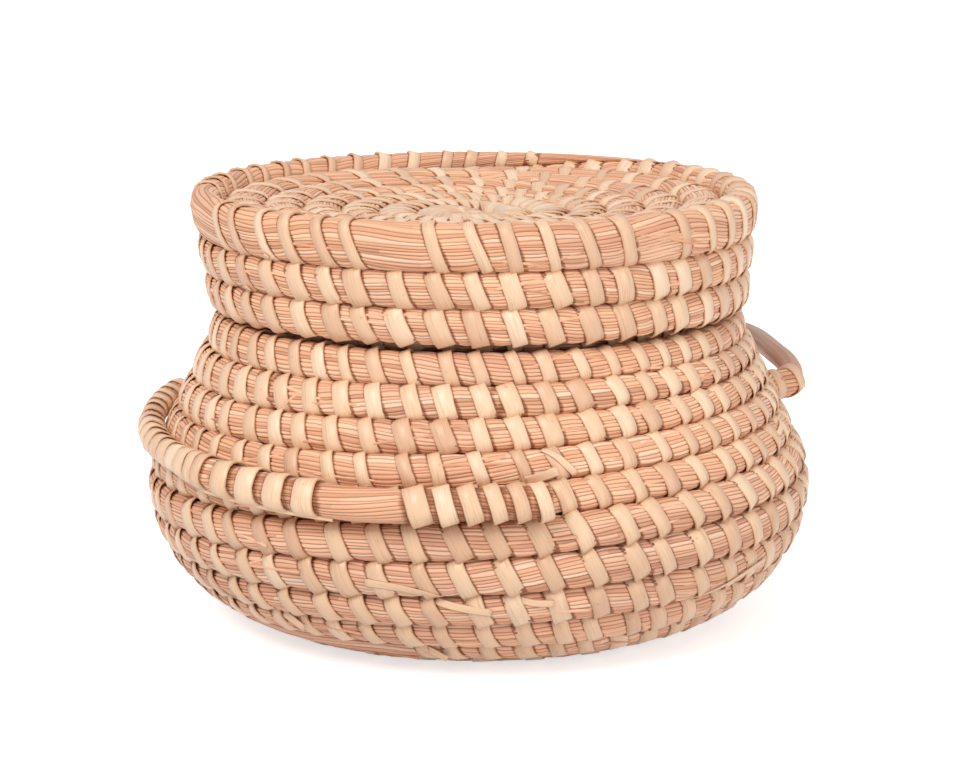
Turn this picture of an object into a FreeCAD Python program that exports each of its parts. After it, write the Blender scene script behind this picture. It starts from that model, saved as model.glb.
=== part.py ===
import FreeCAD, Part
import math
import os

# A round coiled straw basket with a lid, used to keep tortillas warm.
# Millimetres, +Z up, origin on the floor under the middle of the base.
# Angles are plan angles in degrees, counter-clockwise from +X, and the front is at 270.

SIZES = [
    ("row_gap", 0.6, "clear gap between one straw row and the next"),
    ("bundle_depth", 12.0, "straw bundle measured through the wall"),
    ("seat_gap", 0.3, "clearance where one piece lies on another"),
    ("stations", 24, "straight runs of a bundle in one turn"),
    ("lid_stations", 36, "straight runs in one turn of the lid's coils"),
    ("end_width", 2.6, "width of a bundle where it tapers out"),
    ("middle_hole", 8.0, "radius of the eye in the first turn of the base and of the dish"),
    ("knot_chamfer", 1.2, "softened edge of the knot that a coil starts from"),
    ("climb_angle", 120.0, "sector at the back where each row climbs to the next"),
    ("base_flat", 78.8, "radius at which the base starts to turn up"),
    ("belly_radius", 46.7, "radius of the turn from the base into the belly"),
    ("shoulder_radius", 25.0, "radius of the turn above the widest row"),
    ("shoulder_lean", 25.3, "lean of the shoulder from the vertical"),
    ("shoulder_length", 51.0, "straight length of the shoulder"),
    ("neck_radius", 22.0, "radius of the turn back to vertical at the neck"),
    ("base_rows", 7, "rows in the base"),
    ("belly_rows", 5, "rows in the belly"),
    ("shoulder_rows", 5, "rows in the shoulder"),
    ("base_edge", 97.0, "length along the profile from the middle to the last base row"),
    ("shoulder_row", 12.2, "row height in the shoulder"),
    ("row_slant", 7.0, "how much higher the wall's middle rows run at the right, and lower at the left"),
    ("collar_rows", 4, "rows in the collar"),
    ("collar_drop", 13.0, "how far the collar reaches below the neck"),
    ("lid_lip_gap", 3.2, "open slot between the neck and the rim of the lid"),
    ("lid_slide_gap", 1.1, "clearance between the collar and the rim of the lid"),
    ("lid_top_row", 17.5, "height of the thick top row of the rim"),
    ("lid_row", 14.0, "height of the other rows of the rim"),
    ("lid_rows_below", 2, "rows of the rim under its top row"),
    ("lid_flare", 6.5, "flare of the rim from the vertical"),
    ("lid_dish_rows", 6, "rows in the dished top of the lid"),
    ("lid_dish_bend", 623.0, "radius of the dish of the lid"),
    ("lid_dish_drop", 7.4, "middle of the rim's top row above the middle of the dish"),
    ("handle_angle", 43.0, "plan angle of the middle of the bare handle"),
    ("cane_diameter", 9.0, "bent cane in both handles"),
    ("cane_sides", 12, "flats round the cane"),
    ("bend_sag", 0.3, "how far a straight run of the cane may lie off its curve"),
    ("sleeve_depth", 13.0, "straw sleeve round the cane, across its flats"),
    ("sleeve_clearance", 0.3, "clearance between cane and sleeve"),
    ("strip_thickness", 0.6, "palm strip wound round a handle"),
    ("strip_width", 8.8, "widest palm strip on a handle"),
    ("wrap_gap", 0.15, "clearance between a wound strip and what it holds"),
    ("handle_height", 72.0, "height of the wrapped handle where it lies on the wall"),
    ("wrapped_rise", 8.0, "rise of the wrapped handle towards its rear end"),
    ("wrapped_standoff", 2.0, "largest extra gap behind the wrapped handle"),
    ("wrapped_front", 58.0, "angle from the middle of the wrapped handle to its front end"),
    ("wrapped_bare", 6.0, "angle from the middle of the wrapped handle to the end of its straw"),
    ("wrapped_rear", 58.0, "angle from the middle of the wrapped handle to its rear end"),
    ("wide_wraps_angle", 28.0, "angle that the wide wraps cover"),
    ("front_wraps_angle", 22.0, "angle that the front wraps cover"),
    ("close_pitch", 6.2, "spacing of the wound strips on the bare part of the wrapped handle"),
    ("wide_pitch", 12.6, "spacing of the wide wraps"),
    ("front_pitch", 9.0, "spacing of the front wraps"),
    ("cane_row", 1, "shoulder row that holds the ends of the bare handle, counted up from 0"),
    ("cane_foot", 43.0, "angle from the middle of the bare handle to where it leaves its row"),
    ("cane_shin", 36.5, "angle from the middle of the bare handle to its shin"),
    ("shin_reach", 127.3, "plan radius of the shin of the bare handle"),
    ("shin_rise", 1.9, "rise of the shin above the front end of the bare handle"),
    ("cane_knee", 26.0, "angle from the middle of the bare handle to its knee"),
    ("knee_reach", 129.5, "plan radius of the knee of the bare handle"),
    ("knee_rise", 7.0, "rise of the knee above the front end of the bare handle"),
    ("cane_reach", 147.0, "plan radius of the middle of the bare handle"),
    ("cane_rise", 7.4, "rise of the middle of the bare handle above its front end"),
    ("tail_runs", 1, "straight runs of the row that the cane's tail fills"),
]

doc = FreeCAD.newDocument("StrawBasket")
sheet = doc.addObject("Spreadsheet::Sheet", "Sizes")
for line, (name, value, note) in enumerate(SIZES, start=1):
    sheet.set("A%d" % line, note)
    sheet.set("B%d" % line, str(value))
    sheet.setAlias("B%d" % line, name)
doc.recompute()


def size(name):
    return float(getattr(sheet, name))


def section_corners(sides):
    """Corners of a regular section whose flats lie one unit from its middle."""
    reach = 1 / math.cos(math.pi / sides)
    turns = [math.pi * (2 * corner - 1) / sides for corner in range(sides)]
    return [(reach * math.cos(turn), reach * math.sin(turn)) for turn in turns]


OCTAGON = section_corners(8)
FLAT = math.tan(math.pi / 8)
HALF_DEPTH = size("bundle_depth") / 2
FULL_TURN = 360
PLANAR_TOLERANCE = 1e-6
UP = FreeCAD.Vector(0, 0, 1)


def cylindrical(radius, angle, height):
    turn = math.radians(angle)
    return FreeCAD.Vector(radius * math.cos(turn), radius * math.sin(turn), height)


BACK = 90
climb_end = BACK + size("climb_angle") / 2


class Profile:
    """Half section of a wall: straight and round stretches that run on tangent to each other."""

    def __init__(self, radius, height, heading):
        self.parts = []
        self.end = (radius, height, math.radians(heading))
        self.length = 0.0

    def add(self, length, turn=0.0):
        self.parts.append((self.length, length, math.radians(turn), self.end))
        self.length += length
        self.end = self.place(self.length)
        return self

    def place(self, along):
        """Radius, height and heading at a length along the profile."""
        start, length, turn, (radius, height, heading) = self.parts[-1]
        for part in self.parts:
            if along <= part[0] + part[1]:
                start, length, turn, (radius, height, heading) = part
                break
        step = along - start
        if turn == 0:
            return (radius + step * math.cos(heading), height + step * math.sin(heading), heading)
        bend = length / turn
        new = heading + step / bend
        radius += bend * (math.sin(new) - math.sin(heading))
        height -= bend * (math.cos(new) - math.cos(heading))
        return (radius, height, new)

    def point(self, along, out, angle):
        """Point at a length along the profile, a depth outside it and a plan angle."""
        radius, height, heading = self.place(along)
        return cylindrical(radius + out * math.sin(heading), angle, height - out * math.cos(heading))


def round_turn(radius, degrees):
    return radius * math.radians(abs(degrees))


def faceted_solid(rings):
    """Closed solid through a row of rings of corners."""
    faces = [Part.Face(Part.makePolygon(ring + [ring[0]])) for ring in (rings[0], rings[-1])]

    def patch(corners):
        first, second, third, fourth = corners
        normal = (second - first).cross(third - first)
        if abs(normal.dot(fourth - first)) < PLANAR_TOLERANCE * normal.Length:
            faces.append(Part.Face(Part.makePolygon([first, second, third, fourth, first])))
            return
        faces.append(Part.Face(Part.makePolygon([first, second, third, first])))
        faces.append(Part.Face(Part.makePolygon([first, third, fourth, first])))

    for near, far in zip(rings, rings[1:]):
        for side in range(len(near)):
            after = (side + 1) % len(near)
            patch((near[side], near[after], far[after], far[side]))
    solid = Part.Solid(Part.Shell(faces))
    if solid.Volume < 0:
        solid.reverse()
    return solid


class Coil:
    """One bundle wound row on row along a profile, with tapered ends and level edges."""

    def __init__(self, profile, start, row_heights, stations, slant=0.0, slant_start=0.0):
        self.profile = profile
        self.start = start
        self.first_angle = climb_end
        self.step = FULL_TURN / stations
        self.slant = slant
        self.slant_start = slant_start
        self.tops = [start]
        for height in row_heights:
            self.tops.append(self.tops[-1] + height)
        self.climb = size("climb_angle")
        self.gap = size("row_gap")

    def edge(self, turned):
        """Far edge of the bundle after a turn in degrees: level, then climbing at the back."""
        row = math.floor(turned / FULL_TURN)
        share = max(0.0, (turned - FULL_TURN * (row + 1) + self.climb) / self.climb)
        low = self.tops[min(max(row + 1, 0), len(self.tops) - 1)]
        high = self.tops[min(max(row + 2, 0), len(self.tops) - 1)]
        return low + (high - low) * (1 - math.cos(math.pi * share)) / 2

    def span(self, turned):
        """Near and far edge of the bundle along the profile."""
        near = self.start
        if turned - FULL_TURN >= -self.climb:
            near = self.edge(turned - FULL_TURN) + self.gap
        return near, self.edge(turned)

    def slanted(self, along, angle):
        """A length along the profile, moved on at the right and back at the left."""
        share = max(0.0, (along - self.slant_start) / (self.profile.length - self.slant_start))
        return along + self.slant * math.sin(math.pi * share) * math.cos(math.radians(angle))

    def ring(self, turned):
        near, far = self.span(turned)
        row = min(max(int(turned // FULL_TURN), 0), len(self.tops) - 2)
        full = self.tops[row + 1] - self.tops[row] - self.gap
        depth = HALF_DEPTH * (0.4 + 0.6 * min(1.0, (far - near) / full))
        angle = self.first_angle + turned
        near, far = self.slanted(near, angle), self.slanted(far, angle)
        middle = (near + far) / 2
        half = (far - near) / 2
        return [self.profile.point(middle + half * across, depth * out, angle) for across, out in OCTAGON]

    def middle(self, turned):
        corners = self.ring(turned)
        return sum(corners, FreeCAD.Vector()) * (1 / len(corners))

    def station(self, angle, row):
        """The station of a row that lies nearest to a plan angle."""
        return FULL_TURN * row + self.step * round(((angle - self.first_angle) % FULL_TURN) / self.step)

    def turns(self):
        """All stations at which the bundle is wide enough to be there."""
        count = int(round((FULL_TURN * (len(self.tops) - 1) + self.climb) / self.step))
        stations = [-self.climb + self.step * number for number in range(count + 1)]
        wide = size("end_width")
        return [turned for turned in stations if self.span(turned)[1] - self.span(turned)[0] > wide]

    def solid(self, first_row=0, last_row=None):
        """The bundle from one row to another, or to its tapered ends."""
        stations = self.turns()
        if first_row:
            stations = [turned for turned in stations if turned >= FULL_TURN * first_row]
        if last_row is not None:
            stations = [turned for turned in stations if turned <= FULL_TURN * last_row]
        return faceted_solid([self.ring(turned) for turned in stations])

    def least_gap(self):
        """Least distance between a row's corners and the row under it, on points of both."""
        least = math.inf
        stations = self.turns()
        known = set(stations)
        for turned in stations:
            if turned - FULL_TURN not in known:
                continue
            for upper in self.ring(turned):
                for lower in self.ring(turned - FULL_TURN):
                    least = min(least, (upper - lower).Length)
        return least


# The wall's half section runs from the middle of the base to the top of the neck.
wall = Profile(0, HALF_DEPTH, 0)
wall.add(size("base_flat"))
wall.add(round_turn(size("belly_radius"), 90), 90)
wall.add(round_turn(size("shoulder_radius"), size("shoulder_lean")), size("shoulder_lean"))
wall.add(size("shoulder_length"))
wall.add(round_turn(size("neck_radius"), size("shoulder_lean")), -size("shoulder_lean"))

neck_inner = wall.end[0] - HALF_DEPTH
neck_top = wall.end[1]
shoulder_start = wall.length - size("shoulder_rows") * size("shoulder_row")
base_edge = size("base_edge")
base_row = (base_edge - size("middle_hole")) / size("base_rows")
belly_row = (shoulder_start - base_edge) / size("belly_rows")
base_rows = int(size("base_rows"))
belly_rows = int(size("belly_rows"))
shoulder_rows = int(size("shoulder_rows"))
wall_heights = [base_row] * base_rows + [belly_row] * belly_rows + [size("shoulder_row")] * shoulder_rows
wall_coil = Coil(wall, size("middle_hole"), wall_heights, size("stations"), size("row_slant"), base_edge)

# The rim of the lid hangs round the collar, and the dish closes it above.
rim_lean = math.radians(size("lid_flare"))
rim_length = size("lid_top_row") + size("lid_rows_below") * size("lid_row")
collar_outer = neck_inner - size("seat_gap")
rim_end_radius = collar_outer + size("lid_slide_gap") + HALF_DEPTH / math.cos(rim_lean)
rim_end_height = neck_top + size("lid_lip_gap") + HALF_DEPTH * FLAT * math.sin(rim_lean)
rim_top_radius = rim_end_radius + rim_length * math.sin(rim_lean)
rim_top_height = rim_end_height + rim_length * math.cos(rim_lean)
rim = Profile(rim_top_radius, rim_top_height, -90 - size("lid_flare")).add(rim_length)
rim_heights = [size("lid_top_row")] + [size("lid_row")] * int(size("lid_rows_below"))
rim_coil = Coil(rim, 0.0, rim_heights, size("lid_stations"))

top_row_height = rim_top_height - size("lid_top_row") / 2
dish_middle = top_row_height - size("lid_dish_drop")
bend = size("lid_dish_bend")


def dish_height(radius):
    return dish_middle + bend - math.sqrt(bend ** 2 - radius ** 2)


rim_inner = rim_top_radius - (rim_top_height - top_row_height) * math.tan(rim_lean) - HALF_DEPTH
dish_edge = rim_inner - HALF_DEPTH * math.tan(rim_lean) - 2 * size("seat_gap")
dish_turn = math.degrees(math.asin(dish_edge / bend))
dish = Profile(0, dish_middle, 0).add(round_turn(bend, dish_turn), dish_turn)
dish_row = (dish.length - size("middle_hole")) / size("lid_dish_rows")
dish_coil = Coil(dish, size("middle_hole"), [dish_row] * int(size("lid_dish_rows")), size("lid_stations"))

# The collar stands inside the neck and carries the lid under its dish.
collar_middle = collar_outer - HALF_DEPTH
collar_top = dish_height(collar_middle - HALF_DEPTH * FLAT) - HALF_DEPTH - size("seat_gap")
collar_bottom = neck_top - size("collar_drop")
collar = Profile(collar_middle, collar_bottom, 90).add(collar_top - collar_bottom)
collar_row = collar.length / size("collar_rows")
collar_coil = Coil(collar, 0.0, [collar_row] * int(size("collar_rows")), size("stations"))

parts = []


def bound(kind, name, formulas):
    """An object of the document whose sizes follow formulas on the sheet."""
    made = doc.addObject(kind, name)
    for size_name, formula in formulas.items():
        made.setExpression(size_name, formula)
    return made


def keep(feature):
    feature.Label = feature.Name
    parts.append(feature)


def keep_coil(label, solid):
    """A wound bundle, whose shape is worked out above."""
    feature = doc.addObject("Part::Feature", label)
    feature.Shape = solid
    feature.Placement = FreeCAD.Placement()
    keep(feature)


def keep_knot(label, height):
    """The tight button that a coil starts from: a flat disc with softened edges, turned in one piece."""
    body = doc.addObject("PartDesign::Body", label)
    section = body.newObject("Sketcher::SketchObject", label + "_section")
    plane = next(face for face in body.Origin.OriginFeatures if face.Role == "XZ_Plane")
    section.AttachmentSupport = [(plane, "")]
    section.MapMode = "FlatFace"
    reach = size("middle_hole") - size("seat_gap")
    depth = size("bundle_depth")
    edge = size("knot_chamfer")
    corners = [(0, 0), (reach - edge, 0), (reach, edge)]
    corners += [(reach, depth - edge), (reach - edge, depth), (0, depth)]
    for near, far in zip(corners, corners[1:] + corners[:1]):
        section.addGeometry(Part.LineSegment(FreeCAD.Vector(*near, 0), FreeCAD.Vector(*far, 0)))
    bottom, lower_edge, side, upper_edge, top, axis = range(len(corners))
    START, END, ORIGIN = 1, 2, -1
    for line in range(len(corners)):
        after = (line + 1) % len(corners)
        section.addConstraint(Sketcher.Constraint("Coincident", line, END, after, START))
    section.addConstraint(Sketcher.Constraint("Coincident", bottom, START, ORIGIN, START))
    for direction, lines in (("Horizontal", (bottom, top)), ("Vertical", (side, axis))):
        for line in lines:
            section.addConstraint(Sketcher.Constraint(direction, line))
    knot_radius = "Sizes.middle_hole - Sizes.seat_gap"
    for kind, line, value, formula in (
            ("DistanceX", bottom, reach - edge, knot_radius + " - Sizes.knot_chamfer"),
            ("DistanceX", lower_edge, edge, "Sizes.knot_chamfer"),
            ("DistanceY", lower_edge, edge, "Sizes.knot_chamfer"),
            ("DistanceY", side, depth - 2 * edge, "Sizes.bundle_depth - 2 * Sizes.knot_chamfer"),
            ("DistanceX", upper_edge, -edge, "-Sizes.knot_chamfer"),
            ("DistanceY", upper_edge, edge, "Sizes.knot_chamfer")):
        number = section.addConstraint(Sketcher.Constraint(kind, line, START, line, END, value))
        section.setExpression("Constraints[%d]" % number, formula)
    turned = body.newObject("PartDesign::Revolution", label + "_turned")
    turned.Profile = section
    turned.ReferenceAxis = (section, ["V_Axis"])
    turned.Angle = FULL_TURN
    body.Placement.Base = FreeCAD.Vector(0, 0, height)
    keep(body)


keep_knot("base_start_knot", 0)
keep_knot("lid_start_knot", dish_middle - HALF_DEPTH)
keep_coil("base_coil", wall_coil.solid(0, base_rows))
keep_coil("belly_coil", wall_coil.solid(base_rows, base_rows + belly_rows))
shoulder_wound = doc.addObject("Part::Feature", "shoulder_wound")
shoulder_wound.Shape = wall_coil.solid(base_rows + belly_rows)
keep_coil("neck_collar_coil", collar_coil.solid())
keep_coil("lid_dish_coil", dish_coil.solid())
keep_coil("lid_rim_coil", rim_coil.solid())
for label, coil in (("wall", wall_coil), ("collar", collar_coil), ("dish", dish_coil), ("rim", rim_coil)):
    print("least gap in the %s coil: %.2f mm over %.1f turns" % (label, coil.least_gap(), len(coil.tops) - 1))

# Both handles lie on the shoulder, whose radius at a height follows from the profile.
lean = math.radians(size("shoulder_lean"))
lean_radius, lean_height = wall.parts[3][3][:2]
half_cane = size("cane_diameter") / 2
half_sleeve = size("sleeve_depth") / 2
strip_build = size("strip_thickness") + size("wrap_gap")


def shoulder_at(height):
    return lean_radius - (height - lean_height) * math.tan(lean)


RUN_ANGLE = 180 / size("stations")


def handle_radius(height, half, standoff=0.0):
    """Plan radius of a handle's corners, so that its straight runs clear the shoulder."""
    out = HALF_DEPTH + size("seat_gap") + strip_build + half + standoff
    return (shoulder_at(height) + out / math.cos(lean)) / math.cos(math.radians(RUN_ANGLE / 2))


wrapped_middle = size("handle_angle") + 180
front_end = wrapped_middle + size("wrapped_front")
rear_end = wrapped_middle - size("wrapped_rear")
straw_end = wrapped_middle - size("wrapped_bare")
THINNING_ANGLE = 12


def wrapped_place(angle):
    """Middle line of the wrapped handle: it rises to the rear and stands off a little there."""
    share = (front_end - angle) / (front_end - rear_end)
    height = size("handle_height") + size("wrapped_rise") * share
    free = max(0.0, (straw_end - angle) / (straw_end - rear_end))
    standoff = size("wrapped_standoff") * math.sin(math.pi * free)
    thin = min(1.0, max(0.0, 0.5 + (straw_end - angle) / THINNING_ANGLE))
    half = half_sleeve + (half_cane - half_sleeve) * thin
    return cylindrical(handle_radius(height, half, standoff), angle, height)


def spread(start, stop, step):
    """Evenly spread values from start to stop, about a step apart."""
    count = max(1, int(round((stop - start) / step)))
    return [start + (stop - start) * number / count for number in range(count + 1)]


CANE = "Sizes.cane_diameter / 2"
SLEEVE = "Sizes.sleeve_depth / 2"
SLEEVE_BORE = CANE + " + Sizes.sleeve_clearance"
WRAP_SIDES = len(OCTAGON)


def laid_on_wall(point, along, sides):
    """Placement at a point with Z along a run and a flat of the section turned to the leaning wall."""
    outward = FreeCAD.Vector(point.x, point.y, 0).normalize() * math.cos(lean) + UP * math.sin(lean)
    outward = (outward - along * outward.dot(along)).normalize()
    turn = FreeCAD.Rotation(outward, along.cross(outward), along, "ZXY")
    return FreeCAD.Placement(point, turn.multiply(FreeCAD.Rotation(UP, 180 / sides)))


def to_corner(half, sides):
    """Formula for the corner radius of a section whose flats lie at a formula's length."""
    return "(%s) / cos(180 / %d)" % (half, sides)


def rod(name, path, half, sides=WRAP_SIDES):
    """A flat-sided rod along a path of straight runs, mitred where they meet."""
    spine = doc.addObject("Part::Feature", name + "_path")
    spine.Shape = Part.makePolygon(path)
    section = bound("Part::RegularPolygon", name + "_section", {"Circumradius": to_corner(half, sides)})
    section.Polygon = sides
    section.Placement = laid_on_wall(path[0], (path[1] - path[0]).normalize(), sides)
    swept = doc.addObject("Part::Sweep", name)
    swept.Sections = [section]
    swept.Spine = (spine, ["Edge%d" % number for number in range(1, len(path))])
    swept.Solid = True
    swept.Frenet = False
    swept.Transition = "Right corner"
    return swept


def cut(name, base, tool):
    made = doc.addObject("Part::Cut", name)
    made.Base = base
    made.Tool = tool
    return made


def sleeve(name, path):
    return cut(name, rod(name + "_outside", path, SLEEVE), rod(name + "_bore", path, SLEEVE_BORE))


def wraps(name, path, held, pitch):
    """Bands of palm strip, about a pitch apart, round the straight runs of what they hold."""
    bands = []
    bore = held + " + Sizes.wrap_gap"
    layers = (("outside", bore + " + Sizes.strip_thickness"), ("bore", bore))
    for near, far in zip(path, path[1:]):
        along = (far - near).normalize()
        stops = spread(0, (far - near).Length, pitch)
        width = min(size("strip_width"), stops[1] - 2 * size("seat_gap"))
        for left, right in zip(stops, stops[1:]):
            band = "%s_%d" % (name, len(bands) + 1)
            start = near + along * ((left + right - width) / 2)
            prisms = []
            for layer, half in layers:
                formulas = {"Circumradius": to_corner(half, WRAP_SIDES),
                            "Height": "min(Sizes.strip_width; %r - 2 * Sizes.seat_gap)" % stops[1]}
                prism = bound("Part::Prism", "%s_%s" % (band, layer), formulas)
                prism.Polygon = WRAP_SIDES
                prism.Placement = laid_on_wall(start, along, WRAP_SIDES)
                prisms.append(prism)
            bands.append(cut(band, *prisms))
    made = doc.addObject("Part::Compound", name)
    made.Links = bands
    return made


def wrapped_path(start, stop, run):
    """Corners of a stretch of the wrapped handle whose straight runs have about a given length."""
    turn = math.degrees(run / handle_radius(size("handle_height"), half_sleeve))
    return [wrapped_place(angle) for angle in spread(start, stop, turn)]


# The wrapped handle at the front left: a cane, a straw sleeve on its front part and palm wraps.
close_pitch, wide_pitch, front_pitch = size("close_pitch"), size("wide_pitch"), size("front_pitch")
wide_end = straw_end + size("wide_wraps_angle")
front_start = front_end - size("front_wraps_angle")
rear_path = wrapped_path(rear_end, straw_end, 2 * close_pitch)
wide_path = wrapped_path(straw_end, wide_end, wide_pitch)
open_path = wrapped_path(wide_end, front_start, 2 * front_pitch)
front_path = wrapped_path(front_start, front_end, 2 * front_pitch)
straw_path = wide_path + open_path[1:] + front_path[1:]
keep(rod("left_handle_cane", rear_path + straw_path[1:], CANE))
keep(sleeve("left_handle_straw", straw_path))
keep(wraps("left_handle_close_wraps", rear_path, CANE, close_pitch))
keep(wraps("left_handle_wide_wraps", wide_path, SLEEVE, wide_pitch))
keep(wraps("left_handle_front_wraps", front_path, SLEEVE, front_pitch))

# The bare handle at the back right: a cane that comes out of a row, arches up and goes back in.
middle_angle = size("handle_angle")
cane_row = base_rows + belly_rows + int(size("cane_row"))
bare_height = wall_coil.middle(wall_coil.station(middle_angle - size("cane_foot"), cane_row)).z


def cane_tail(side):
    """The middle line of the row that holds one tail, from where the cane leaves it to the tail's end."""
    foot = wall_coil.station(middle_angle + side * size("cane_foot"), cane_row)
    runs = range(int(size("tail_runs")) + 1)
    return [wall_coil.middle(foot + side * wall_coil.step * number) for number in runs]


def arch_point(side, name):
    """One of the points that the arch passes on its way up: its shin or its knee."""
    angle = middle_angle + side * size("cane_" + name)
    return cylindrical(size(name + "_reach"), angle, bare_height + size(name + "_rise"))


front_tail = cane_tail(-1)
rear_tail = cane_tail(1)
arch_top = cylindrical(size("cane_reach"), middle_angle, bare_height + size("cane_rise"))
front_side = [front_tail[0], arch_point(-1, "shin"), arch_point(-1, "knee")]
rear_side = [rear_tail[0], arch_point(1, "shin"), arch_point(1, "knee")]
arch = Part.BSplineCurve()
arch.interpolate(front_side + [arch_top] + rear_side[::-1])
arch_path = arch.toShape().discretize(Deflection=size("bend_sag"))
bare_path = front_tail[:0:-1] + arch_path + rear_tail[1:]
cane_sides = int(size("cane_sides"))
keep(rod("right_handle_cane", bare_path, CANE, cane_sides))

# Its row is bored out for the tails, with a little room at their ends.
bore_path = list(bare_path)
bore_path[0] += (bore_path[0] - bore_path[1]).normalize() * size("seat_gap")
bore_path[-1] += (bore_path[-1] - bore_path[-2]).normalize() * size("seat_gap")
keep(cut("shoulder_coil", shoulder_wound, rod("cane_bore", bore_path, SLEEVE_BORE, cane_sides)))

doc.recompute()
for item in doc.Objects:
    if "Invalid" in item.State or "Error" in item.State:
        raise RuntimeError("%s is not sound: %s" % (item.Label, item.State))
os.makedirs("parts", exist_ok=True)
for part in parts:
    if part.Shape.isNull() or not part.Shape.isValid():
        raise RuntimeError("%s has no sound shape" % part.Label)
    part.Shape.exportStep("parts/%s.step" % part.Label)
    box = part.Shape.BoundBox
    print("%-26s %2d solid(s) %9.0f mm3  x %6.1f %6.1f  y %6.1f %6.1f  z %6.1f %6.1f" % (
        part.Label, len(part.Shape.Solids), part.Shape.Volume,
        box.XMin, box.XMax, box.YMin, box.YMax, box.ZMin, box.ZMax))
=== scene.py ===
import math

import bmesh
import bpy
import numpy as np
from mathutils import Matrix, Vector


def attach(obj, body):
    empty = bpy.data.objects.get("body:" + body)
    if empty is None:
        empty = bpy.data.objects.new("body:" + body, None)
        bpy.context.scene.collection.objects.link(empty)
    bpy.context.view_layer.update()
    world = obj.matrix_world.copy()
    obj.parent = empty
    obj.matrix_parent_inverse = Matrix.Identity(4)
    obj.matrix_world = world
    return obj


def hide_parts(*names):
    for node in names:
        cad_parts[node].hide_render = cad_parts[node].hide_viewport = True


# A round coiled straw basket with a lid. Metres, +Z up, origin on the floor under the middle of the base.
# Plan angles are in degrees, counter-clockwise from +X, and the front is at 270.

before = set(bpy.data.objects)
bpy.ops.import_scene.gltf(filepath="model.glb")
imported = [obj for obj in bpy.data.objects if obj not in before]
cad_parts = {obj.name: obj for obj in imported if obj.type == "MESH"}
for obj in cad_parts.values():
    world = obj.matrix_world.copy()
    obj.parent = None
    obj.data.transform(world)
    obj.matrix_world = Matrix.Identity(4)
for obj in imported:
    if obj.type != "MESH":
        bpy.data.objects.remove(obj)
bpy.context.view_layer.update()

MM = 0.001
FULL_TURN = 360.0
FRONT, BACK = 270.0, 90.0

# Sizes of the wall's half section and of the rows on it.
HALF_DEPTH = 6.0 * MM
BASE_FLAT = 78.8 * MM
BELLY_RADIUS = 46.7 * MM
SHOULDER_RADIUS = 25.0 * MM
SHOULDER_LEAN = 25.3
SHOULDER_LENGTH = 51.0 * MM
NECK_RADIUS = 22.0 * MM
EYE = 8.0 * MM
BASE_ROWS = 7
BASE_EDGE = 97.0 * MM
BELLY_ROWS = 5
SHOULDER_ROW = 12.2 * MM
SHOULDER_ROWS = 5
SEAT = 0.3 * MM

# Each row climbs to the next over a sector at the back.
CLIMB = 120.0
CLIMB_END = BACK + CLIMB / 2

# A bundle tapers out at its ends to a thin tip of this half width and share of its depth.
TIP_HALF_WIDTH = 0.2 * MM
TIP_DEPTH = 0.35


def plan(radius, angle, height):
    """Points at plan radii, plan angles and heights."""
    turn = np.radians(angle)
    return np.stack([radius * np.cos(turn), radius * np.sin(turn), height + 0 * turn], axis=-1)


def run_length(points):
    """Length run along a line at each of its points."""
    return np.concatenate([[0], np.cumsum(np.linalg.norm(np.diff(points, axis=0), axis=1))])


def round_turn(radius, degrees):
    """Length of a round stretch."""
    return radius * math.radians(abs(degrees))


class Profile:
    """Half section of a wall: straight and round stretches that run on tangent to each other."""

    def __init__(self, radius, height, heading):
        self.parts = []
        self.end = (radius, height, math.radians(heading))
        self.length = 0.0

    def add(self, length, turn=0.0):
        """Runs the profile on by a length that turns by some degrees."""
        self.parts.append((self.length, length, math.radians(turn), self.end))
        self.length += length
        self.end = tuple(float(value[0]) for value in self.place(np.array([self.length])))
        return self

    def place(self, along):
        """Radii, heights and headings at lengths along the profile."""
        found = np.zeros((3, len(along)))
        for number, (start, length, turn, (radius, height, heading)) in enumerate(self.parts):
            here = along >= start if number else np.ones(len(along), bool)
            step = (along - start)[here]
            new = heading + turn * step / length
            if turn:
                bend = length / turn
                found[0, here] = radius + bend * (np.sin(new) - math.sin(heading))
                found[1, here] = height - bend * (np.cos(new) - math.cos(heading))
            else:
                found[0, here] = radius + step * math.cos(heading)
                found[1, here] = height + step * math.sin(heading)
            found[2, here] = new
        return found


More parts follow.
